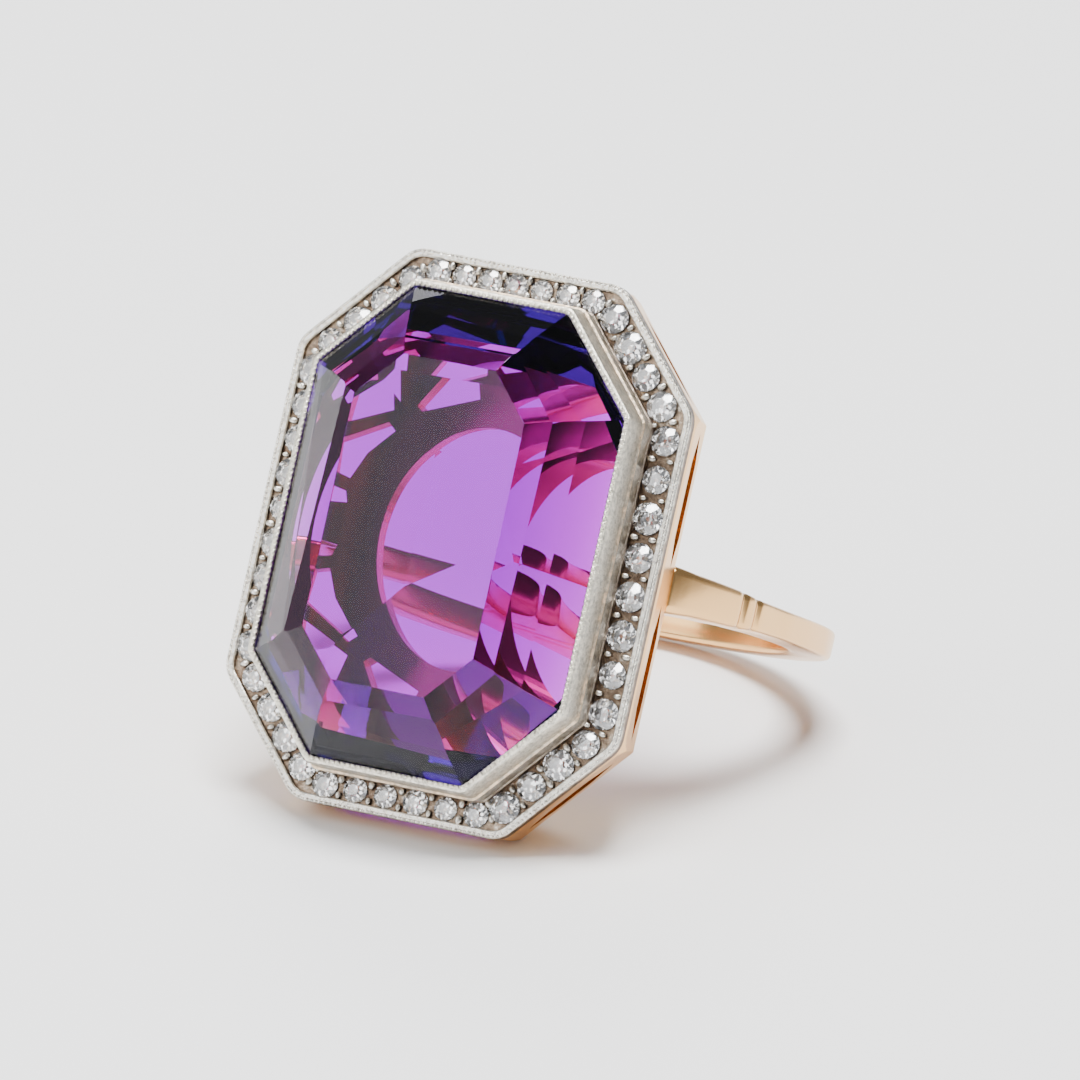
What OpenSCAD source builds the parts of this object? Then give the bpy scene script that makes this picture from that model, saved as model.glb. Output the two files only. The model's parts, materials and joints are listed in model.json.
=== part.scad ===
// Cocktail ring: a large step-cut amethyst in a stepped collar, framed by a row of
// small diamonds, on a pierced gold head and a plain gold shank.
// Every module is drawn with the finger hole centred on the origin, the finger along Y
// and the stone on +Z. set_down() then leans the ring onto the lower edge of its head
// and the back of its shank, the way it rests on a table.

/* [Shank] */
// Radius of the finger hole
hole_r = 8.65; // [8.4:0.05:8.9]
// Thickness of the shank
shank_t = 1.5; // [1.2:0.05:1.8]
// Width of the shank at the back
shank_w = 1.2; // [1:0.1:1.6]
// Width of the shoulders where they meet the head
shoulder_w = 2.15; // [1.9:0.05:2.4]
// Half the gap between the two shoulders under the stone
shoulder_gap = 4.9; // [4.5:0.1:5.2]

/* [Amethyst] */
// Half width of the stone at the collar's edge
stone_hw = 6.5; // [6.3:0.05:6.7]
// Half length of the stone at the collar's edge
stone_hl = 9.35; // [9.1:0.05:9.6]
// Cut of each corner, across the finger
cut_x = 3.25; // [3:0.05:3.5]
// Cut of each corner, along the finger
cut_y = 3.6; // [3.3:0.05:3.8]
// Height of the table above the collar's edge
crown_h = 2.66; // [2.2:0.02:3]
// Depth of the stone's nearly flat bottom below the collar's edge
pavilion_h = 3.15; // [3:0.05:3.3]

/* [Head] */
// Height of the collar's edge above the centre of the finger hole
collar_h = 15.7; // [15.5:0.1:16.5]
// Thickness of the collar at its foot
collar_t = 0.4; // [0.35:0.01:0.45]
// Depth of the rim's top below the collar's edge
rim_drop = 2.15; // [2:0.05:2.3]
// Spread of the rim beyond the stone, on the long sides
rim_side = 1.9; // [1.85:0.01:1.95]
// Spread of the rim beyond the stone, on the short ends
rim_end = 1.68; // [1.65:0.01:1.75]
// Spread of the rim beyond the stone, at the cut corners
rim_corner = 2.0; // [1.95:0.01:2.1]
// Width of the flat edge outside the row of diamonds
rim_w = 0.32; // [0.3:0.01:0.34]
// Radius of the rim's corners
rim_round = 1.2; // [0.8:0.1:1.4]
// Height of the pierced gold side wall
wall_h = 1.7; // [1.4:0.1:2]
// Height of the slots pierced in the side wall
slot_h = 0.7; // [0.4:0.05:0.9]
// Half the gap between the two slots of a long side
slot_gap = 0.75; // [0.6:0.05:1.4]
// Inward lean of the side wall from top to bottom
wall_taper = 0.25; // [0.1:0.05:0.4]

/* [Under-gallery] */
// Depth of the gallery's flat base below the side wall
gallery_drop = 2.0; // [1.6:0.1:2.2]
// Thickness of the gallery's base
gallery_t = 0.8; // [0.6:0.05:1]
// Half width of the oval opening
oval_hw = 3.7; // [3.4:0.1:3.9]
// Half length of the oval opening
oval_hl = 4.55; // [4.2:0.05:4.8]

/* [Diamonds] */
// Radius of the diamonds on the sides and corners
diamond_r = 0.57; // [0.5:0.01:0.58]
// Radius of the diamonds on the short ends
end_diamond_r = 0.47; // [0.4:0.01:0.48]

/* [Hidden] */
// Diamonds along each edge, anticlockwise from the right side
DIAMOND_COUNTS = [8, 4, 7, 4, 9, 4, 6, 4];

// ---- cut-corner outlines: [half width, half length, corner cut in x, corner cut in y] ----
function grown(o, side, end, corner) =
    let (h = norm([o[2], o[3]]),
         reach = (o[3] * o[0] + o[2] * (o[1] - o[3])) / h + corner,
         w = o[0] + side,
         l = o[1] + end)
    [w, l, w - (reach * h - o[2] * l) / o[3], l - (reach * h - o[3] * w) / o[2]];
function even(o, d) = grown(o, d, d, d);
function corners(o) = [
    [o[0], o[1] - o[3]], [o[0] - o[2], o[1]], [o[2] - o[0], o[1]], [-o[0], o[1] - o[3]],
    [-o[0], o[3] - o[1]], [o[2] - o[0], -o[1]], [o[0] - o[2], -o[1]], [o[0], o[3] - o[1]]];
// Direction that each edge faces, from the right side round to itself again
function facings(o) = let (t = atan2(o[2], o[3])) [0, t, 90, 180 - t, 180, 180 + t, 270, 360 - t, 360];
// The same outline with its corners rounded to radius r
function rounded(o, r) =
    let (inner = corners(even(o, -r)), face = facings(o))
    [for (i = [0:7]) for (k = [0:5])
        let (a = face[i] + (face[i + 1] - face[i]) * k / 5) inner[i] + r * [cos(a), sin(a)]];
function ellipse(a, b, n) = [for (i = [0:n - 1]) [a * cos(i * 360 / n), b * sin(i * 360 / n)]];

stone_edge = [stone_hw, stone_hl, cut_x, cut_y];
collar_foot = even(stone_edge, collar_t);
rim = grown(stone_edge, rim_side, rim_end, rim_corner);
rim_inner = even(rim, -rim_w);
// The line through the diamonds' centres, halfway across their channel
diamond_line = grown(stone_edge,
    (collar_t + rim_side - rim_w) / 2, (collar_t + rim_end - rim_w) / 2, (collar_t + rim_corner - rim_w) / 2);
wall_top = even(rim, -0.07);
wall_foot = even(wall_top, -wall_taper);
gallery_base = even(wall_foot, -1.7);

// ---- levels of the head, above the centre of the finger hole ----
rim_z = collar_h - rim_drop;
channel_z = rim_z - 0.2;
plate_z = rim_z - 0.45;
backing_z = plate_z - 0.4;
wall_z = backing_z - wall_h;
gallery_z = wall_z - gallery_drop;

// ---- the shank's outline ----
shank_r = hole_r + shank_t;
shoulder_root = [wall_foot[0], wall_z];
// Outer face of a shoulder, from under the head down to the round back of the hoop
SHOULDER = [[8.6, 10.3], [9.12, 9], [9.65, 7], [10.1, 4.2], [10.3, 1.84], [10.33, 0], [10.22, -1.8], [9.78, -3.5],
    [8.84, -5.13]];
// The two grooves cut across each shoulder: where they run on its outer face
GROOVES = [[9.83, 5.9], [9.67, 6.9]];

// ---- the lean of the ring at rest ----
function lean_on(half_length, height) = atan2(half_length - shank_w / 2, height + shank_r);
lean = max(lean_on(rim[1], plate_z), lean_on(wall_top[1], backing_z), lean_on(wall_foot[1], wall_z));
module set_down() { rotate([90 - lean, 0, 0]) children(); }

// A closed solid through cut-corner outlines, each given with its height, lowest first
module stack(levels) {
    points = [for (level = levels) for (p = corners(level[0])) [p.x, p.y, level[1]]];
    last = 8 * (len(levels) - 1);
    polyhedron(points, concat(
        [[for (i = [0:7]) i]],
        [for (j = [0:len(levels) - 2]) for (i = [0:7])
            [8 * j + i, 8 * j + 8 + i, 8 * j + 8 + (i + 1) % 8, 8 * j + (i + 1) % 8]],
        [[for (i = [7:-1:0]) last + i]]));
}

// A flat plate between two outlines
module frame_plate(z, height, outline, opening) {
    translate([0, 0, z]) linear_extrude(height) difference() {
        polygon(outline);
        polygon(corners(opening));
    }
}

// ---- shank ----
module shank_outline() {
    difference() {
        side = concat([shoulder_root], SHOULDER);
        polygon(concat(side, [for (a = [36:6:144]) shank_r * [cos(a), -sin(a)]],
            [for (i = [len(side) - 1:-1:0]) [-side[i].x, side[i].y]]));
        // the space taken by the under-gallery
        polygon([[-gallery_base[0], gallery_z], [gallery_base[0], gallery_z], shoulder_root,
            [shoulder_root.x, 2 * wall_z], [-shoulder_root.x, 2 * wall_z], [-shoulder_root.x, wall_z]]);
        translate([-shoulder_gap, 0]) square([2 * shoulder_gap, 2 * wall_z]);
    }
}

// Width of the shank at each height: even at the back, wider up the shoulders
module width_outline() {
    half = [[shank_w / 2, -2 * shank_r], [shank_w / 2, 3], [0.69, GROOVES[0].y], [0.79, GROOVES[1].y],
        [0.9, 9.6], [shoulder_w / 2, wall_z]];
    polygon(concat(half, [for (i = [len(half) - 1:-1:0]) [-half[i].x, half[i].y]]));
}

module shank() color("#CDA56E") set_down() difference() {
    intersection() {
        rotate([90, 0, 0]) linear_extrude(2 * shoulder_w, center = true) shank_outline();
        rotate([90, 0, 90]) linear_extrude(4 * shank_r, center = true) width_outline();
    }
    rotate([90, 0, 0]) cylinder(h = 4 * shoulder_w, r = hole_r, center = true, $fn = 96);
    for (side = [-1, 1]) for (groove = GROOVES) translate([side * (groove.x + 0.08), 0, groove.y])
        rotate([90, 0, 0]) cylinder(h = 4 * shoulder_w, r = 0.2, center = true, $fn = 24);
}

// ---- under-gallery: a flat pierced base on a sloping skirt ----
// Cut-outs of one quarter, each running from a point near the oval to a wide end
GALLERY_PETALS = [
    [[1.05, 5.55], [3.3, 4.65], [3.55, 4.85], [2.5, 6.6], [2.0, 7.1], [1.5, 6.9]],
    [[4.25, 4.75], [6.2, 3.9], [6.1, 5.3], [4.9, 6.6], [4.6, 6.1]],
    [[4.0, 3.95], [4.95, 2.9], [5.45, 1.8], [6.2, 2.0], [6.3, 3.2], [4.35, 4.25]],
    [[5.35, 0.85], [6.3, 0.75], [6.3, 1.45], [5.5, 1.3]]];

module gallery_piercing() {
    polygon(ellipse(oval_hw, oval_hl, 72));
    for (flip_x = [0, 1]) for (flip_y = [0, 1]) mirror([flip_x, 0]) mirror([0, flip_y])
        for (petal = GALLERY_PETALS) polygon(petal);
}

module under_gallery() color("#C99B66") set_down() difference() {
    stack([[gallery_base, gallery_z], [wall_foot, wall_z]]);
    stack([[even(gallery_base, -0.5), gallery_z + gallery_t], [even(wall_foot, -0.6), wall_z],
        [even(wall_foot, -0.6), wall_z + 1]]);
    translate([0, 0, gallery_z - 1]) linear_extrude(gallery_t + 2) gallery_piercing();
}

// ---- pierced gold side wall ----
// A slot with pointed ends, through the wall of the edge that faces a given way
module wall_slot(facing, distance, along, length) {
    rotate([0, 0, facing]) translate([distance, along, wall_z + 0.75]) rotate([90, 0, 90])
        linear_extrude(3, center = true)
            polygon([[-length / 2, 0], [1.2 - length / 2, -slot_h / 2], [length / 2 - 1.2, -slot_h / 2],
                [length / 2, 0], [length / 2 - 1.2, slot_h / 2], [1.2 - length / 2, slot_h / 2]]);
}

module side_wall() color("#D2AA72") set_down() difference() {
    intersection() {
        stack([[wall_foot, wall_z], [wall_top, backing_z]]);
        translate([0, 0, wall_z - 1]) linear_extrude(backing_z - wall_z + 2) polygon(rounded(wall_top, rim_round - 0.07));
    }
    stack([[even(wall_foot, -0.6), wall_z - 1], [even(wall_foot, -0.6), wall_z],
        [even(wall_top, -0.6), backing_z], [even(wall_top, -0.6), backing_z + 1]]);
    side_half = wall_top[1] - wall_top[3];
    slot_l = side_half - slot_gap - 0.5;
    for (facing = [0, 180]) for (end = [-1, 1])
        wall_slot(facing, wall_top[0], end * (slot_gap + slot_l / 2), slot_l);
    for (facing = [90, 270]) wall_slot(facing, wall_top[1], 0, 2 * (wall_top[0] - wall_top[2]) - 1.6);
    for (i = [1, 3, 5, 7]) {
        middle = (corners(wall_top)[i - 1] + corners(wall_top)[i]) / 2;
        facing = facings(wall_top)[i];
        across = middle.y * cos(facing) - middle.x * sin(facing);
        wall_slot(facing, norm(middle), across, norm([wall_top[2], wall_top[3]]) - 1.6);
    }
}

// ---- the row of diamonds and the plates that carry it ----
// Each diamond's centre and radius
DIAMONDS = [for (edge = [0:7]) for (k = [0:DIAMOND_COUNTS[edge] - 1])
    let (from = corners(diamond_line)[(edge + 7) % 8], to = corners(diamond_line)[edge],
         place = from + (to - from) * (k + 0.5) / DIAMOND_COUNTS[edge])
    [place.x, place.y, (edge == 2 || edge == 6) ? end_diamond_r : diamond_r]];

// Round seats drilled under the diamonds
module diamond_seats(z, height) {
    for (d = DIAMONDS) translate([d[0], d[1], z - 0.5]) cylinder(h = height + 1, r = 0.79 * d[2], $fn = 24);
}

module backing_plate() color("#D2AA72") set_down() difference() {
    frame_plate(backing_z, plate_z - backing_z, rounded(wall_top, rim_round - 0.07), collar_foot);
    diamond_seats(backing_z, plate_z - backing_z);
}

module halo_plate() color("#C8C4BA") set_down() difference() {
    frame_plate(plate_z, rim_z - plate_z, rounded(rim, rim_round), collar_foot);
    translate([0, 0, channel_z]) linear_extrude(1) polygon(rounded(rim_inner, rim_round - rim_w));
    diamond_seats(plate_z, rim_z - plate_z);
}

// A brilliant with an eight-sided girdle
module diamond(i) color("#F2F4F6") set_down() {
    r = DIAMONDS[i][2];
    octagon = [r, r, (2 - sqrt(2)) * r, (2 - sqrt(2)) * r];
    translate([DIAMONDS[i][0], DIAMONDS[i][1], channel_z + 0.19 * r])
        stack([[0.06 * octagon, -0.85 * r], [octagon, 0], [octagon, 0.06 * r], [0.55 * octagon, 0.36 * r]]);
}

// ---- collar and its inner seat ----
module collar() color("#BEB9AC") set_down() difference() {
    // foot, upright wall, ridge and upper band, each as outer spread and top height
    union() {
        base = backing_z;
        for (band = [[collar_t, rim_z + 0.1], [collar_t - 0.05, collar_h - 1.3], [collar_t + 0.02, collar_h - 1.15],
            [collar_t - 0.1, collar_h]])
            translate([0, 0, base]) linear_extrude(band[1] - base) polygon(corners(even(stone_edge, band[0])));
    }
    // a straight bore for the stone, closing to a lip at the edge
    translate([0, 0, backing_z - 1]) linear_extrude(collar_h - backing_z + 0.85) polygon(corners(even(stone_edge, 0.12)));
    translate([0, 0, collar_h - 1]) linear_extrude(2) polygon(corners(even(stone_edge, -0.03)));
}

module stone_seat() color("#C8B48C") set_down() difference() {
    frame_plate(collar_h - 1.25, 0.5, corners(even(stone_edge, 0.12)), even(stone_edge, -0.14));
}

// ---- amethyst ----
module amethyst() color("#8C3CA5") set_down() translate([0, 0, collar_h]) {
    girdle = even(stone_edge, 0.1);
    stack([
        [[1.3, 3.4, 0.6, 0.6], -pavilion_h],
        [grown(girdle, -1.5, -3.3, -2), -2.8],
        [grown(girdle, -0.83, -1.82, -1.1), -2],
        [girdle, -0.4],
        [girdle, -0.2],
        [even(stone_edge, -1.21), 0.44 * crown_h],
        [even(stone_edge, -2.08), 0.78 * crown_h],
        [even(stone_edge, -2.89), crown_h]]);
}

DIAMOND_NAMES = [for (i = [1:len(DIAMONDS)]) str("diamond_", i < 10 ? "0" : "", i)];

shank();
under_gallery();
side_wall();
backing_plate();
halo_plate();
collar();
stone_seat();
amethyst();
for (i = [0:len(DIAMONDS) - 1]) diamond(i);
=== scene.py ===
"""A cocktail ring: step-cut amethyst, stepped milgrain collar, diamond border, pierced gold head.

Pieces are modelled in the ring's own directions, with the finger along Y and the stone on Z,
and are then laid over the CAD frame by RING, which the finger hole's axis gives.
Lengths in the modelling functions are millimetres.
"""

import json
import math
import random

import bmesh
import bpy
from bpy.props import FloatProperty, FloatVectorProperty, PointerProperty
from mathutils import Matrix, Vector


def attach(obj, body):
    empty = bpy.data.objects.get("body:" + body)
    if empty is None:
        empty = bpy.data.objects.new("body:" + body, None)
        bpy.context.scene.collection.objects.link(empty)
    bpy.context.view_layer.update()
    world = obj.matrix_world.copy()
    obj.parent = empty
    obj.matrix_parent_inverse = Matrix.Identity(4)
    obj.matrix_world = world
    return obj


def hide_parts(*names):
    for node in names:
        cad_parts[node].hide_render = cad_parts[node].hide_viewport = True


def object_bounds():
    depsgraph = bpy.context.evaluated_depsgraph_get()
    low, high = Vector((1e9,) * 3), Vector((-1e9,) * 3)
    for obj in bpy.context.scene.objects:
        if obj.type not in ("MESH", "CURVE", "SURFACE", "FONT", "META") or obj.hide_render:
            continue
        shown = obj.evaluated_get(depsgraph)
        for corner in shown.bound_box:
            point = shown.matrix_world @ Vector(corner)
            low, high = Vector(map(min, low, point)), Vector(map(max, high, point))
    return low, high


bl_info = {
    "name": "Cocktail ring",
    "version": (1, 0, 0),
    "blender": (4, 5, 0),
    "location": "View3D > Sidebar > Ring",
    "description": "Builds the stones, metalwork and studio of a cocktail ring over its CAD frame",
    "category": "Add Mesh",
}

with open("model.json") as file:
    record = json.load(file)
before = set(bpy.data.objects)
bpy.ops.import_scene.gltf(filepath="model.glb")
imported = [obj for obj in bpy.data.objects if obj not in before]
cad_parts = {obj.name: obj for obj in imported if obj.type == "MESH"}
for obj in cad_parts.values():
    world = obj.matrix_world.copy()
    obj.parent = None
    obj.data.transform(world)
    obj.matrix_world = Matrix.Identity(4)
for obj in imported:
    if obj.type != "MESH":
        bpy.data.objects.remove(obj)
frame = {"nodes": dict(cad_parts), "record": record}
CAD_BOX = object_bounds()
MM = 0.001


# ---- the ring's own directions, from the finger hole ----


def ring_directions():
    """Turns ring coordinates in millimetres into the row frame in metres."""
    hole = next(m for m in frame["record"]["mounts"] if m["name"] == "finger_hole")
    across = Vector((1, 0, 0))
    finger = Vector(hole["axis"]).normalized()
    turn = Matrix((across, finger, across.cross(finger))).transposed().to_4x4()
    return Matrix.Translation(Vector(hole["pos_m"])) @ turn @ Matrix.Scale(MM, 4)


RING = ring_directions()
HOLE_R = next(m for m in frame["record"]["mounts"] if m["name"] == "finger_hole")["dims"]["r_mm"]


def ring_box(node):
    """Lowest and highest corner of a CAD node along the ring's own directions, in millimetres."""
    back = RING.inverted()
    points = [back @ v.co for v in frame["nodes"][node].data.vertices]
    low = Vector([min(p[i] for p in points) for i in range(3)])
    high = Vector([max(p[i] for p in points) for i in range(3)])
    return low, high


STONE_HIGH = ring_box("amethyst")[1]
COLLAR_LOW, COLLAR_HIGH = ring_box("collar")
HALO_LOW, HALO_HIGH = ring_box("halo_plate")
SHANK_HIGH = ring_box("shank")[1]


# ---- cut-corner outlines: (half width, half length, corner cut in x, corner cut in y) ----


def grown(outline, side, end, corner):
    """The outline spread by side on its long edges, end on its short ones and corner at its cuts."""
    half_w, half_l, cut_x, cut_y = outline
    slant = math.hypot(cut_x, cut_y)
    reach = (cut_y * half_w + cut_x * (half_l - cut_y)) / slant + corner
    wide, long = half_w + side, half_l + end
    return (
        wide,
        long,
        wide - (reach * slant - cut_x * long) / cut_y,
        long - (reach * slant - cut_y * wide) / cut_x,
    )


def even(outline, spread):
    return grown(outline, spread, spread, spread)


def corners(outline):
    """The eight corners, anticlockwise from the upper end of the right side."""
    w, l, cx, cy = outline
    quarter = [(w, l - cy), (w - cx, l)]
    half = quarter + [(-x, y) for x, y in reversed(quarter)]
    return [Vector(p) for p in half + [(-x, -y) for x, y in half]]


def facings(outline):
    """Which way each of the eight edges faces, in radians, from the right side round."""
    tilt = math.atan2(outline[2], outline[3])
    quarter = [0, tilt, math.pi / 2, math.pi - tilt]
    return quarter + [a + math.pi for a in quarter]


def rounded(outline, radius, steps=5):
    """The outline's points with its corners turned to arcs."""
    inner, face = corners(even(outline, -radius)), facings(outline) + [2 * math.pi]
    points = []
    for i, centre in enumerate(inner):
        for k in range(steps + 1):
            a = face[i] + (face[i + 1] - face[i]) * k / steps
            points.append(centre + radius * Vector((math.cos(a), math.sin(a))))
    return points


def spaced(points, pitch):
    """Points a pitch apart along a closed outline."""
    legs = [(a, b, (b - a).length) for a, b in zip(points, points[1:] + points[:1])]
    total = sum(leg[2] for leg in legs)
    count = round(total / pitch)
    found, walked, wanted = [], 0, 0
    for a, b, length in legs:
        while wanted < count and wanted * total / count < walked + length:
            found.append(a.lerp(b, (wanted * total / count - walked) / length))
            wanted += 1
        walked += length
    return found


# The amethyst's girdle stands this far out past the collar's edge, under its lip.
GIRDLE_LIP = 0.1
# What the cut corners take off the stone's outline, across and along.
CORNER_CUT = (3.25, 3.6)
STONE_EDGE = (STONE_HIGH.x - GIRDLE_LIP, STONE_HIGH.y - GIRDLE_LIP, *CORNER_CUT)
EDGE_Z = COLLAR_HIGH.z
COLLAR_T = COLLAR_HIGH.x - STONE_EDGE[0]
# Radius of the collar's corners.
COLLAR_ROUND = 0.45
# How far the rim spreads past the stone at its cut corners, the radius of its corners and its width.
RIM_CORNER = 2.0
RIM_ROUND = 1.2
RIM_W = 0.32
RIM = grown(STONE_EDGE, HALO_HIGH.x - STONE_EDGE[0], HALO_HIGH.y - STONE_EDGE[1], RIM_CORNER)
RIM_Z = HALO_HIGH.z
# The floor of the diamonds' channel, below the rim's top.
CHANNEL_DEPTH = 0.2


# ---- user settings ----


def srgb(code):
    """An sRGB hex colour as linear red, green and blue."""
    values = [int(code[i : i + 2], 16) / 255 for i in (0, 2, 4)]
    return tuple(v / 12.92 if v <= 0.04045 else ((v + 0.055) / 1.055) ** 2.4 for v in values)


def colour(name, code, description):
    return FloatVectorProperty(
        name=name, description=description, subtype="COLOR", size=3, min=0, max=1, default=srgb(code)
    )


def size(name, value, description):
    return FloatProperty(
        name=name, description=description, default=value * MM, min=0, unit="LENGTH", precision=5
    )


class RingSizes(bpy.types.PropertyGroup):
    milgrain_pitch: size("Milgrain pitch", 0.22, "Spacing of the tiny beads along the metal edges")
    milgrain_bead: size("Milgrain bead", 0.1, "Radius of a bead on the collar's edge")
    rim_bead: size("Rim bead", 0.066, "Radius of a bead on the rim's edge")
    grain: size("Grain", 0.14, "Radius of the raised beads that hold the diamonds")
    facet_wear: size("Facet wear", 0.03, "Width of the worn line along the amethyst's facet edges")


class RingColours(bpy.types.PropertyGroup):
    gold: colour("Gold", "F0BE7E", "Polished yellow gold")
    stone: colour("Amethyst", "EA59F4", "Violet of the amethyst")
    board: colour("Board", "F8F8F8", "Painted board under the ring")


# ---- materials ----


def add(tree, kind, inputs=None, **settings):
    """Adds a node, sets it up and wires or fills its inputs."""
    node = tree.nodes.new(kind)
    for key, value in settings.items():
        setattr(node, key, value)
    for key, value in (inputs or {}).items():
        if isinstance(value, bpy.types.NodeSocket):
            tree.links.new(value, node.inputs[key])
        else:
            node.inputs[key].default_value = value
    return node


def new_material(name):
    material = bpy.data.materials.get(name)
    if material:
        return material, None
    material = bpy.data.materials.new(name)
    material.use_nodes = True
    material.node_tree.nodes.clear()
    return material, material.node_tree


def polished_gold():
    """15 carat gold, polished and then worn: soft highlights and a faint net of scratches."""
    material, tree = new_material("polished_gold")
    if tree is None:
        return material
    tint = bpy.context.scene.ring_colours.gold
    place = add(tree, "ShaderNodeTexCoord").outputs["Object"]
    # wear blotches about 2 mm across
    wear = add(tree, "ShaderNodeTexNoise", {"Vector": place, "Scale": 500, "Detail": 4})
    rough = add(tree, "ShaderNodeMapRange", {"Value": wear.outputs["Fac"], "To Min": 0.12, "To Max": 0.3})
    # scratches about 0.1 mm apart
    scratch = add(tree, "ShaderNodeTexNoise", {"Vector": place, "Scale": 9000, "Detail": 2})
    height = scratch.outputs["Fac"]
    bump = add(tree, "ShaderNodeBump", {"Height": height, "Strength": 0.08, "Distance": 0.02 * MM})
    shader = add(
        tree,
        "ShaderNodeBsdfPrincipled",
        {
            "Base Color": (*tint, 1),
            "Metallic": 1,
            "Roughness": rough.outputs["Result"],
            "Normal": bump.outputs["Normal"],
        },
    )
    add(tree, "ShaderNodeOutputMaterial", {"Surface": shader.outputs["BSDF"]})
    return material


def white_metal(name, painted_light_tones, rough, brush):
    """Silver-white top metal, hand worked.

    tones gives its colour at heights above the rim in millimetres, a ramp that paints shade low down and
    light higher up; brush is how deep its marks look.
    """
    material, tree = new_material(name)
    if tree is None:
        return material
    place = add(tree, "ShaderNodeTexCoord").outputs["Object"]
    up = RING.to_3x3() @ Vector((0, 0, 1 / MM))
    height = add(tree, "ShaderNodeVectorMath", {0: place, 1: up}, operation="DOT_PRODUCT").outputs["Value"]
    # blotches about 0.5 mm across shift the tones up and down
    blotch = add(tree, "ShaderNodeTexNoise", {"Vector": place, "Scale": 2000, "Detail": 5, "Roughness": 0.6})
    shift = 0.5
    sway = add(
        tree, "ShaderNodeMath", {0: blotch.outputs["Fac"], 1: shift * MM, 2: height}, operation="MULTIPLY_ADD"
    )
    low, high = painted_light_tones[0][0], painted_light_tones[-1][0]
    base = RIM_Z + shift / 2
    level = add(
        tree,
        "ShaderNodeMapRange",
        {"Value": sway.outputs[0], "From Min": (base + low) * MM, "From Max": (base + high) * MM},
    )
    # the ramp paints shade low down and light higher up, by height alone
    ramp = add(tree, "ShaderNodeValToRGB", {"Fac": level.outputs["Result"]})
    stops = ramp.color_ramp.elements
    while len(stops) < len(painted_light_tones):
        stops.new(0.5)
    for stop, (at, code) in zip(stops, painted_light_tones):
        stop.position = (at - low) / (high - low)
        stop.color = (*srgb(code), 1)
    # dirt and tool marks about 0.2 mm across
    marks = add(tree, "ShaderNodeTexNoise", {"Vector": place, "Scale": 5500, "Detail": 4, "Roughness": 0.7})
    mottle = marks.outputs["Fac"]
    shade = add(
        tree,
        "ShaderNodeMapRange",
        {"Value": mottle, "From Min": 0.36, "From Max": 0.58, "To Min": 0.6, "To Max": 1.06},
    )
    tone = add(
        tree,
        "ShaderNodeVectorMath",
        {0: ramp.outputs["Color"], "Scale": shade.outputs["Result"]},
        operation="SCALE",
    )
    # the same marks in relief
    bump = add(tree, "ShaderNodeBump", {"Height": mottle, "Strength": brush, "Distance": 0.06 * MM})
    shader = add(
        tree,
        "ShaderNodeBsdfPrincipled",
        {
            "Base Color": tone.outputs["Vector"],
            "Metallic": 1,
            "Roughness": rough,
            "Normal": bump.outputs["Normal"],
        },
    )
    add(tree, "ShaderNodeOutputMaterial", {"Surface": shader.outputs["BSDF"]})
    return material


def brushed_collar_metal():
    """The collar: satin and pale, with painted brown shade low down, painted light towards its top edge and a
    bright warm painted highlight along its ridge.
    """
    ridge = EDGE_Z - RIM_Z - 1.22
    # painted shade at the foot, a painted highlight on the ridge and painted light at the top
    painted_light_tones = (  # height above the rim, colour
        (-0.1, "8A7462"),
        (0.2, "C2B6A6"),
        (ridge - 0.15, "D8D1C4"),
        (ridge, "F6D8B4"),
        (ridge + 0.12, "C4BAAA"),
        (1.6, "DAD5C9"),
        (2.15, "F4EEDE"),
    )
    return white_metal("brushed_collar_metal", painted_light_tones, 0.3, 1.0)


def bright_cut_metal():
    """The diamond plate: pale along its top, with painted brown shade in the recesses between the stones."""
    # painted brown shade low down, in the cups and the channel between the stones
    painted_light_tones = ((-0.3, "5E4A3C"), (-0.16, "988674"), (-0.06, "E2DDD2"), (0.2, "F0ECE4"))
    return white_metal("bright_cut_metal", painted_light_tones, 0.26, 0.7)


def amethyst_crystal():
    """Polished quartz coloured violet all through: pale where it is thin and deep along long paths.

    Its specular tint is low, so the pale ground shows only faintly on its table.
    """
    material, tree = new_material("amethyst_crystal")
    if tree is None:
        return material
    shader = add(
        tree,
        "ShaderNodeBsdfPrincipled",
        {
            "Base Color": (1, 1, 1, 1),
            "Roughness": 0,
            "IOR": 1.544,
            "Transmission Weight": 1,
            "Specular Tint": (*srgb("AAAAB3"), 1),
        },
    )
    # a millimetre of stone takes about a fifth of the red, two thirds of the green and a tenth of the blue
    tint = bpy.context.scene.ring_colours.stone
    depth = add(tree, "ShaderNodeVolumeAbsorption", {"Color": (*tint, 1), "Density": 1150})
    parts = {"Surface": shader.outputs["BSDF"], "Volume": depth.outputs["Volume"]}
    add(tree, "ShaderNodeOutputMaterial", parts)
    return material


def cut_diamond():
    """Colourless diamond, polished and slightly abraded: strong reflections and bright internal flashes."""
    material, tree = new_material("cut_diamond")
    if tree is None:
        return material
    shader = add(
        tree,
        "ShaderNodeBsdfPrincipled",
        {"Base Color": (1, 1, 1, 1), "Roughness": 0, "IOR": 2.417, "Transmission Weight": 0.97},
    )
    add(tree, "ShaderNodeOutputMaterial", {"Surface": shader.outputs["BSDF"]})
    return material


def painted_board():
    """Matt white paint: a plain pale ground."""
    material, tree = new_material("painted_board")
    if tree is None:
        return material
    shader = add(
        tree,
        "ShaderNodeBsdfPrincipled",
        {"Base Color": (*bpy.context.scene.ring_colours.board, 1), "Roughness": 0.6},
    )
    add(tree, "ShaderNodeOutputMaterial", {"Surface": shader.outputs["BSDF"]})
    return material


# ---- shared modelling ----


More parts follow.
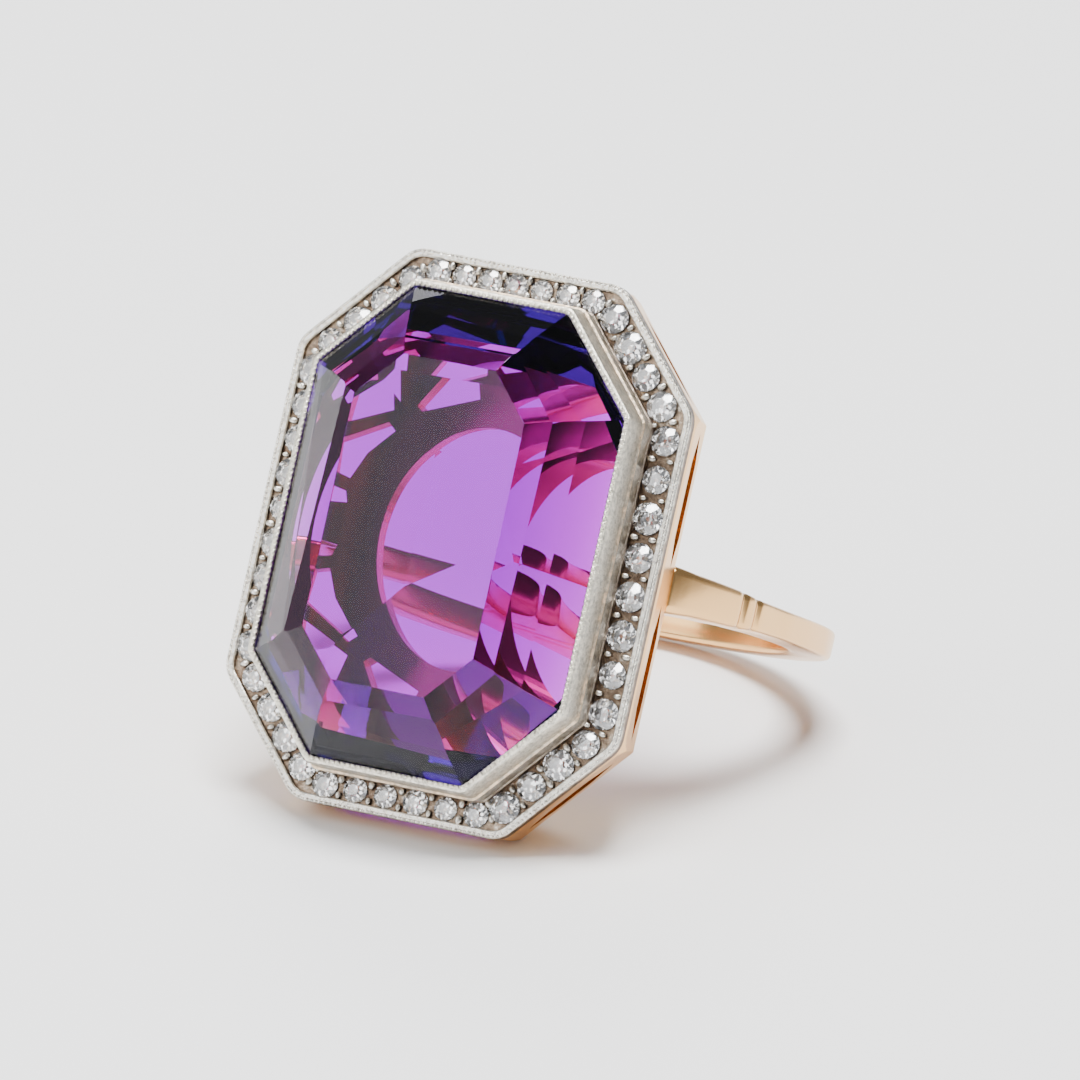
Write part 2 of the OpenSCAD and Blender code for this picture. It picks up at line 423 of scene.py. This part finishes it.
def place_piece(bm, name, material, slot, *nodes, smooth=False):
    """Lays a finished bmesh over the frame as one piece and hides the CAD nodes it stands for."""
    bmesh.ops.transform(bm, matrix=RING, verts=bm.verts)
    bmesh.ops.recalc_face_normals(bm, faces=bm.faces)
    mesh = bpy.data.meshes.new(name)
    bm.to_mesh(mesh)
    bm.free()
    for face in mesh.polygons:
        face.use_smooth = smooth
    piece = bpy.data.objects.new(name, mesh)
    bpy.context.scene.collection.objects.link(piece)
    mesh.materials.append(material)
    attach(piece, "root")
    if nodes:
        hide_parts(*nodes)
    return piece


def closed_band(bm, levels):
    """Draws a loop of edges from level to level, each (points, z), and welds the last onto the first."""
    points, z = levels[0]
    start = verts = [bm.verts.new((p.x, p.y, z)) for p in points]
    edges = [bm.edges.new((a, b)) for a, b in zip(verts, verts[1:] + verts[:1])]
    for points, z in levels[1:] + levels[:1]:
        drawn = bmesh.ops.extrude_edge_only(bm, edges=edges)["geom"]
        fresh = {g for g in drawn if isinstance(g, bmesh.types.BMVert)}
        verts = [next(e.other_vert(v) for e in v.link_edges if e.other_vert(v) in fresh) for v in verts]
        edges = [e for v in verts for e in v.link_edges if e.other_vert(v) in fresh and e.verts[0] is v]
        for v, p in zip(verts, points):
            v.co = (p.x, p.y, z)
    bmesh.ops.weld_verts(bm, targetmap=dict(zip(verts, start)))


def cut_facet(bm, normal, distance):
    """Grinds one flat facet: everything past the plane goes, and the cut is closed."""
    normal = Vector(normal).normalized()
    cut = bmesh.ops.bisect_plane(
        bm,
        geom=bm.verts[:] + bm.edges[:] + bm.faces[:],
        plane_co=normal * distance,
        plane_no=normal,
        dist=1e-5,
        clear_outer=True,
    )
    edges = [g for g in cut["geom_cut"] if isinstance(g, bmesh.types.BMEdge)]
    if len(edges) > 2:
        bmesh.ops.edgeloop_fill(bm, edges=edges)


def steps_round(bm, outline, steps, wobble=0.0, seed=0):
    """Grinds rows of facets round a cut-corner outline, each from (inset, z) to the next (inset, z)."""
    chance = random.Random(seed)
    for i, facing in enumerate(facings(outline)):
        out = Vector((math.cos(facing), math.sin(facing), 0))
        reach = out.xy.dot(corners(outline)[i])
        for (inset, z), (inset_2, z_2) in zip(steps, steps[1:]):
            rise, run = z_2 - z, inset_2 - inset
            normal = (out * abs(rise) + Vector((0, 0, math.copysign(run, rise)))).normalized()
            middle = out * (reach - (inset + inset_2) / 2) + Vector((0, 0, (z + z_2) / 2))
            sway = Vector([chance.uniform(-wobble, wobble) for _ in range(3)])
            normal = (normal + sway).normalized()
            cut_facet(bm, normal, normal.dot(middle))


# ---- pieces ----

# How far in from the girdle the belly ends, under a side, a corner, an end and a corner.
BELLY_INSETS = (1.5, 2.0, 3.3, 2.0)
# Heights of the belly's top, middle and foot below the collar's edge.
BELLY_TOP, BELLY_MIDDLE, BELLY_FOOT = -0.4, -2.0, -2.8
# Facets of the amethyst's bottom: tilt across and along in degrees, and a point each passes through.
BOTTOM_FACETS = (
    (-2.2, -1.5, 0, 0, -3.1),
    (-6.0, -1.5, -1.25, 0, -3.05),
    (3.0, 1.0, 1.4, 0, -3.15),
    (2.0, -8.0, 0.9, -0.9, -3.1),
    (-4.0, -8.0, -2.0, -3.9, -2.95),
    (0.5, 6.5, 0, 3.6, -3.1),
)


def make_amethyst():
    """An octagonal step cut: a table, three crown steps, a girdle, a steep belly and a nearly flat bottom."""
    bm = bmesh.new()
    bmesh.ops.create_cube(bm, size=2)
    bmesh.ops.scale(bm, vec=(9, 12, 6), verts=bm.verts)
    girdle = even(STONE_EDGE, GIRDLE_LIP)
    crown = STONE_HIGH.z - EDGE_Z
    steps_round(bm, girdle, [(0, -1), (0, 1)])
    crown_steps = [(0, -0.2), (1.27, 0.45 * crown), (2.2, 0.79 * crown), (2.99, crown)]
    steps_round(bm, girdle, crown_steps, wobble=0.006, seed=3)
    cut_facet(bm, (0, 0, 1), crown)
    # the belly, in two steps
    for i, facing in enumerate(facings(girdle)):
        out = Vector((math.cos(facing), math.sin(facing), 0))
        reach = out.xy.dot(corners(girdle)[i])
        inset = BELLY_INSETS[i % 4]
        line = ((0, BELLY_TOP), (0.55 * inset, BELLY_MIDDLE), (inset, BELLY_FOOT))
        for start, end in zip(line, line[1:]):
            rise, run = start[1] - end[1], end[0] - start[0]
            normal = out * rise - Vector((0, 0, run))
            cut_facet(bm, normal, normal.normalized().dot(out * (reach - end[0]) + Vector((0, 0, end[1]))))
    # the bottom
    for across, along, x, y, z in BOTTOM_FACETS:
        normal = Vector((math.tan(math.radians(across)), math.tan(math.radians(along)), -1))
        cut_facet(bm, normal, normal.normalized().dot(Vector((x, y, z))))
    bmesh.ops.remove_doubles(bm, verts=bm.verts, dist=0.002)
    wear = bpy.context.scene.ring_sizes.facet_wear / MM
    bmesh.ops.bevel(
        bm,
        geom=bm.edges[:],
        offset=wear / 2,
        segments=1,
        profile=0.5,
        affect="EDGES",
        material=-1,
        clamp_overlap=True,
    )
    bmesh.ops.translate(bm, vec=(0, 0, EDGE_Z), verts=bm.verts)
    place_piece(bm, "cut_amethyst", amethyst_crystal(), "amethyst", "amethyst")


def make_collar():
    """The stepped strip round the stone, and the milgrain beads along its edge."""
    foot, edge = COLLAR_LOW.z, EDGE_Z
    profile = [  # spread past the stone, height
        (0.12, foot),
        (COLLAR_T, foot),
        (COLLAR_T, RIM_Z + 0.04),
        (COLLAR_T - 0.05, RIM_Z + 0.1),
        (COLLAR_T - 0.08, edge - 1.34),
        (COLLAR_T + 0.01, edge - 1.28),
        (COLLAR_T + 0.02, edge - 1.2),
        (COLLAR_T - 0.06, edge - 1.14),
        (COLLAR_T - 0.12, edge - 0.3),
        (COLLAR_T - 0.16, edge - 0.1),
        (COLLAR_T - 0.22, edge - 0.06),
        (0.03, edge - 0.06),
        (-0.02, edge - 0.16),
        (0.12, edge - 0.3),
    ]
    bm = bmesh.new()
    closed_band(bm, [(rounded(even(STONE_EDGE, spread), COLLAR_ROUND, 3), z) for spread, z in profile])
    place_piece(bm, "collar_band", brushed_collar_metal(), "white_metal", "collar")

    sizes = bpy.context.scene.ring_sizes
    bead = sizes.milgrain_bead / MM
    beads = bmesh.new()
    line = rounded(even(STONE_EDGE, 0.09), COLLAR_ROUND, 4)
    for p in spaced(line, sizes.milgrain_pitch / MM):
        bmesh.ops.create_uvsphere(
            beads, u_segments=8, v_segments=5, radius=bead, matrix=Matrix.Translation((p.x, p.y, edge - 0.07))
        )
    place_piece(beads, "collar_milgrain", brushed_collar_metal(), "white_metal", smooth=True)


def diamond_places():
    """Name, centre, radius and lowest point of each diamond, read from the CAD nodes."""
    found = []
    for name in sorted(n for n in frame["nodes"] if n.startswith("diamond_")):
        low, high = ring_box(name)
        found.append((name, (low + high) / 2, (high.x - low.x) / 2, low.z))
    return found


def stone_size(name):
    """How much larger or smaller than its neighbours a hand-picked diamond is."""
    number = int(name[-2:])
    return 1.06 + 0.07 * math.sin(2.4 * number) + 0.03 * math.sin(5.3 * number)


def make_halo():
    """The top plate with a cup cut round each diamond, the rim's milgrain and the grains."""
    stones = diamond_places()
    bottom, ledge = HALO_LOW.z, RIM_Z - CHANNEL_DEPTH
    bm = bmesh.new()
    rim_levels = [  # inset from the rim's edge, height
        (0, bottom),
        (0, RIM_Z - 0.07),
        (0.04, RIM_Z - 0.02),
        (0.1, RIM_Z - 0.02),
        (0.13, RIM_Z),
        (RIM_W - 0.05, RIM_Z),
        (RIM_W, RIM_Z - 0.04),
        (RIM_W + 0.03, ledge),
    ]
    levels = [(rounded(even(RIM, -inset), RIM_ROUND - inset, 8), z) for inset, z in rim_levels]
    foot = rounded(even(STONE_EDGE, COLLAR_T), COLLAR_ROUND, 8)
    closed_band(bm, levels + [(foot, ledge), (foot, bottom)])
    plate = place_piece(bm, "halo_top", bright_cut_metal(), "white_metal", "halo_plate")

    cups = bmesh.new()
    cup_depth, cup_rise = 0.75, 0.1
    for name, centre, r, _ in stones:
        wide = r * stone_size(name)
        bmesh.ops.create_cone(
            cups,
            cap_ends=True,
            segments=24,
            radius1=0.35 * wide,
            radius2=1.16 * wide,
            depth=cup_depth,
            matrix=Matrix.Translation((centre.x, centre.y, RIM_Z + cup_rise - cup_depth / 2)),
        )
    bmesh.ops.transform(cups, matrix=RING, verts=cups.verts)
    mesh = bpy.data.meshes.new("cup_cutter")
    cups.to_mesh(mesh)
    cups.free()
    cutter = bpy.data.objects.new("cup_cutter", mesh)
    bpy.context.scene.collection.objects.link(cutter)
    cut = plate.modifiers.new("cups", "BOOLEAN")
    cut.operation = "DIFFERENCE"
    cut.object = cutter
    cut.solver = "EXACT"
    cut.use_self = True
    bpy.context.view_layer.update()
    shaped = bpy.data.meshes.new_from_object(plate.evaluated_get(bpy.context.evaluated_depsgraph_get()))
    plate.modifiers.clear()
    plate.data = shaped
    bpy.data.objects.remove(cutter)

    sizes = bpy.context.scene.ring_sizes
    beads = bmesh.new()
    bead, inset = sizes.rim_bead / MM, 0.07
    for p in spaced(rounded(even(RIM, -inset), RIM_ROUND - inset, 8), 0.9 * sizes.milgrain_pitch / MM):
        place = Matrix.Translation((p.x, p.y, RIM_Z - 0.03))
        bmesh.ops.create_icosphere(beads, subdivisions=1, radius=bead, matrix=place)
    place_piece(beads, "rim_milgrain", bright_cut_metal(), "white_metal", smooth=True)

    grain = sizes.grain / MM
    grains = bmesh.new()
    chance = random.Random(11)
    for (_, a, ra, _), (_, b, rb, _) in zip(stones, stones[1:] + stones[:1]):
        middle = (a + b) / 2
        along = (b - a).xy.normalized()
        across = Vector((-along.y, along.x))
        for side in (-1, 1):
            p = middle.xy + across * side * 0.68 * min(ra, rb)
            size_now = grain * chance.uniform(0.8, 1.15)
            bmesh.ops.create_icosphere(
                grains,
                subdivisions=2,
                radius=size_now,
                matrix=Matrix.Translation((p.x, p.y, RIM_Z - 0.02 - 0.5 * size_now))
                @ Matrix.Rotation(math.atan2(across.y, across.x), 4, "Z")
                @ Matrix.Diagonal((1.35, 0.9, 1, 1)),
            )
    place_piece(grains, "diamond_grains", bright_cut_metal(), "white_metal", smooth=True)


# Slopes of a diamond's facets, as the rise of each facet's normal over its run.
CROWN_MAIN, CROWN_HALF = 1.25, 0.95
BELLY_MAIN, BELLY_HALF = -1.1, -0.98


def make_diamonds():
    """Old-cut brilliants: a small table, a high crown of mains and halves, and a deep belly."""
    for number, (name, centre, r, low) in enumerate(diamond_places()):
        chance = random.Random(number)
        bm = bmesh.new()
        bmesh.ops.create_cone(bm, cap_ends=True, segments=16, radius1=1.0, radius2=1.0, depth=3)
        turn = chance.uniform(0, math.pi / 4)
        table = chance.uniform(0.4, 0.5)
        for k in range(8):
            a = turn + k * math.pi / 4
            sway = chance.uniform(-0.02, 0.02)
            for slope, z in ((CROWN_MAIN, 0.06), (BELLY_MAIN, -0.06)):
                main = Vector((math.cos(a), math.sin(a), slope + sway))
                cut_facet(bm, main, main.normalized().dot(Vector((math.cos(a), math.sin(a), z)) * 0.985))
        for k in range(16):
            a = turn + (k + 0.5) * math.pi / 8
            for slope, z in ((CROWN_HALF, 0.04), (BELLY_HALF, -0.04)):
                half = Vector((math.cos(a), math.sin(a), slope))
                cut_facet(bm, half, half.normalized().dot(Vector((math.cos(a), math.sin(a), z)) * 0.99))
        cut_facet(bm, (0, 0, 1), 0.06 + (1 - table) * 0.8)
        cut_facet(bm, (0, 0, -1), 0.84)
        bmesh.ops.remove_doubles(bm, verts=bm.verts, dist=0.004)
        girdle_z = low + 0.85 * r
        r *= stone_size(name)
        bmesh.ops.scale(bm, vec=(r, r, 0.9 * r), verts=bm.verts)
        # each stone sits a few degrees off level
        lean_x, lean_y = (Matrix.Rotation(chance.uniform(-0.06, 0.06), 4, axis) for axis in "XY")
        seat = Matrix.Translation((centre.x, centre.y, girdle_z))
        bmesh.ops.transform(bm, matrix=seat @ lean_x @ lean_y, verts=bm.verts)
        place_piece(bm, "cut_" + name, cut_diamond(), "diamond", name)


# Outer face of the hoop, from a shoulder's top at the head round to the back: distance out and height.
SHOULDER = (
    (8.08, 11.0), (8.6, 10.3), (9.12, 9), (9.65, 7), (10.1, 4.2), (10.3, 1.84), (10.33, 0), (10.22, -1.8),
    (9.78, -3.5), (8.84, -5.13), (7.18, -7.18), (0, -10.15),
)
# Half width of the shank at each height, top first.
SHANK_WIDTHS = (
    (11.0, 1.06), (9.6, 0.9), (7.15, 0.79), (6.9, 0.78), (5.9, 0.69), (5.6, 0.66), (3, 0.6), (-12, 0.6),
)
# The two grooves across each shoulder: their heights, depth and half width.
GROOVE_HEIGHTS = (5.9, 6.9)
GROOVE_DEPTH = 0.16
GROOVE_W = 0.13


def between(knots, at):
    """The value at a place along knots given as (place, value), highest place first."""
    for (a, value_a), (b, value_b) in zip(knots, knots[1:]):
        if at >= b:
            break
    return value_a + (value_b - value_a) * min(1, max(0, (a - at) / (a - b)))


def make_shank():
    """The hoop: a softened D section spun round the finger, heavier and wider up the shoulders."""
    thick = SHANK_HIGH.x - HOLE_R
    start = math.atan2(SHOULDER[0][0], SHOULDER[0][1])
    bm = bmesh.new()
    bmesh.ops.create_circle(bm, segments=40, radius=1)
    for v in bm.verts:
        out = math.copysign(abs(v.co.x) ** 0.3, v.co.x)
        side = math.copysign(abs(v.co.y) ** 0.3, v.co.y)
        v.co = Vector((0, side, HOLE_R + thick * (1 + out) / 2))
    bmesh.ops.rotate(bm, matrix=Matrix.Rotation(start, 3, "Y"), verts=bm.verts)
    sweep = 2 * math.pi - 2 * start
    section = bm.verts[:] + bm.edges[:]
    bmesh.ops.spin(bm, geom=section, axis=(0, 1, 0), angle=sweep, steps=420, use_merge=False)
    bmesh.ops.holes_fill(bm, edges=[e for e in bm.edges if e.is_boundary], sides=0)
    # the outer face's distance from the centre, by its angle up from the hoop's back
    reach = [(math.pi - math.atan2(x, z), math.hypot(x, z)) for x, z in SHOULDER]
    for v in bm.verts:
        r = math.hypot(v.co.x, v.co.z)
        up = math.pi - math.atan2(abs(v.co.x), v.co.z)
        # averaged over a few degrees, so the outline's corners are eased
        outer = sum(between(reach, up + d * 0.03) for d in (-2, -1, 0, 1, 2)) / 5
        share = (r - HOLE_R) / thick
        height = -outer * math.cos(up)
        groove = sum(GROOVE_DEPTH * math.exp(-(((height - g) / GROOVE_W) ** 2)) for g in GROOVE_HEIGHTS)
        new_r = HOLE_R + (outer - HOLE_R - groove * max(0, share * 2 - 1)) * share
        v.co.x, v.co.z = v.co.x * new_r / r, v.co.z * new_r / r
        v.co.y *= between(SHANK_WIDTHS, v.co.z) - groove * 0.4
    place_piece(bm, "gold_shank", polished_gold(), "yellow_gold", "shank", smooth=True)


def finish_gold_nodes():
    """Gives the pierced gold CAD nodes their metal."""
    for name in ("under_gallery", "side_wall", "backing_plate", "stone_seat"):
        node = frame["nodes"][name]
        node.data.materials.clear()
        node.data.materials.append(polished_gold())


# Softboxes: azimuth and elevation in degrees, distance and side in metres, and how bright the cloth is.
LAMPS = (
    ("left_softbox", -32, 34, 0.5, 0.4, 3.6),
    ("back_softbox", -150, 38, 0.6, 0.26, 6.0),
    ("top_softbox", 20, 86, 0.7, 0.32, 38.0),
)
# The camera: angles in degrees, lens in millimetres, distance in metres.
CAMERA_AZIMUTH, CAMERA_ELEVATION, CAMERA_ROLL = 23.05, 20.0, 2.95
CAMERA_LENS = 516.8
CAMERA_DISTANCE = 0.6
# The point it looks at, right and up of the middle of the collar's edge, in millimetres.
CAMERA_OFFSET = (3.96, -0.21)


def towards(azimuth, elevation):
    """Direction from the ring to a place in the studio, from angles in degrees; azimuth 0 is the front."""
    a, e = math.radians(azimuth), math.radians(elevation)
    return Vector((math.sin(a) * math.cos(e), -math.cos(a) * math.cos(e), math.sin(e)))


def set_stage():
    """A pale board, soft lamps and the camera."""
    ground = CAD_BOX[0].z
    bm = bmesh.new()
    bmesh.ops.create_circle(bm, cap_ends=True, segments=64, radius=1.2)
    mesh = bpy.data.meshes.new("board")
    bm.to_mesh(mesh)
    bm.free()
    mesh.transform(Matrix.Translation((0, 0, ground)))
    mesh.materials.append(painted_board())
    board = bpy.data.objects.new("board", mesh)
    bpy.context.scene.collection.objects.link(board)

    world = bpy.data.worlds.new("studio")
    world.use_nodes = True
    tree = world.node_tree
    tree.nodes.clear()
    # a pale sweep at the horizon under a dim ceiling
    direction = add(tree, "ShaderNodeTexCoord").outputs["Generated"]
    rise = add(tree, "ShaderNodeSeparateXYZ", {"Vector": direction}).outputs["Z"]
    dim = add(
        tree,
        "ShaderNodeMapRange",
        {"Value": rise, "From Min": 0.03, "From Max": 0.3, "To Min": 0.8, "To Max": 0.25},
    )
    tint = (*srgb("F7F9FF"), 1)
    sky = add(tree, "ShaderNodeBackground", {"Color": tint, "Strength": dim.outputs["Result"]})
    add(tree, "ShaderNodeOutputWorld", {"Surface": sky.outputs["Background"]})
    bpy.context.scene.world = world

    for name, azimuth, elevation, distance, wide, glow in LAMPS:
        lamp = bpy.data.lights.new(name, "AREA")
        lamp.size = wide
        lamp.energy = glow * math.pi * wide**2
        spot = bpy.data.objects.new(name, lamp)
        away = towards(azimuth, elevation)
        spot.location = away * distance
        spot.rotation_mode = "QUATERNION"
        spot.rotation_quaternion = away.to_track_quat("Z", "Y")
        bpy.context.scene.collection.objects.link(spot)

    away = towards(CAMERA_AZIMUTH, CAMERA_ELEVATION)
    roll = Matrix.Rotation(math.radians(CAMERA_ROLL), 3, "Z")
    turn = away.to_track_quat("Z", "Y").to_matrix() @ roll
    face = RING @ Vector((0, 0, EDGE_Z))
    aim = face + turn @ Vector((*CAMERA_OFFSET, 0)) * MM
    lens = bpy.data.cameras.new("camera")
    lens.sensor_width = 36
    lens.lens = CAMERA_LENS
    lens.clip_end = 10
    camera = bpy.data.objects.new("camera", lens)
    camera.location = aim + away * CAMERA_DISTANCE
    camera.rotation_euler = turn.to_euler()
    bpy.context.scene.collection.objects.link(camera)
    bpy.context.scene.camera = camera


# ---- operators and panel ----


class RingOperator:
    bl_options = {"REGISTER", "UNDO"}


class RING_OT_amethyst(RingOperator, bpy.types.Operator):
    """Cut the amethyst"""

    bl_idname = "ring.amethyst"
    bl_label = "Amethyst"

    def execute(self, context):
        make_amethyst()
        return {"FINISHED"}


class RING_OT_collar(RingOperator, bpy.types.Operator):
    """Make the stepped collar and its milgrain edge"""

    bl_idname = "ring.collar"
    bl_label = "Collar"

    def execute(self, context):
        make_collar()
        return {"FINISHED"}


class RING_OT_halo(RingOperator, bpy.types.Operator):
    """Make the top plate, its rim and the grains that hold the diamonds"""

    bl_idname = "ring.halo"
    bl_label = "Halo plate"

    def execute(self, context):
        make_halo()
        return {"FINISHED"}


class RING_OT_diamonds(RingOperator, bpy.types.Operator):
    """Cut the small diamonds"""

    bl_idname = "ring.diamonds"
    bl_label = "Diamonds"

    def execute(self, context):
        make_diamonds()
        return {"FINISHED"}


class RING_OT_gold(RingOperator, bpy.types.Operator):
    """Make the shank and finish the pierced gold head"""

    bl_idname = "ring.gold"
    bl_label = "Gold shank and head"

    def execute(self, context):
        make_shank()
        finish_gold_nodes()
        return {"FINISHED"}


class RING_OT_stage(RingOperator, bpy.types.Operator):
    """Set the board, lamps and camera"""

    bl_idname = "ring.stage"
    bl_label = "Studio"

    def execute(self, context):
        set_stage()
        return {"FINISHED"}


OPERATORS = (RING_OT_stage, RING_OT_amethyst, RING_OT_collar, RING_OT_halo, RING_OT_diamonds, RING_OT_gold)


class RING_PT_panel(bpy.types.Panel):
    bl_label = "Cocktail ring"
    bl_idname = "RING_PT_panel"
    bl_space_type = "VIEW_3D"
    bl_region_type = "UI"
    bl_category = "Ring"

    def draw(self, context):
        for group in (context.scene.ring_sizes, context.scene.ring_colours):
            for key in group.__annotations__:
                self.layout.prop(group, key)
        for operator in OPERATORS:
            self.layout.operator(operator.bl_idname)


CLASSES = (RingSizes, RingColours, *OPERATORS, RING_PT_panel)


def register():
    for cls in CLASSES:
        bpy.utils.register_class(cls)
    bpy.types.Scene.ring_sizes = PointerProperty(type=RingSizes)
    bpy.types.Scene.ring_colours = PointerProperty(type=RingColours)


def unregister():
    del bpy.types.Scene.ring_sizes
    del bpy.types.Scene.ring_colours
    for cls in reversed(CLASSES):
        bpy.utils.unregister_class(cls)


def main():
    register()
    bpy.ops.ring.stage()
    bpy.ops.ring.amethyst()
    bpy.ops.ring.collar()
    bpy.ops.ring.halo()
    bpy.ops.ring.diamonds()
    bpy.ops.ring.gold()
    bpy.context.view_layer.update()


if __name__ == "__main__":
    main()
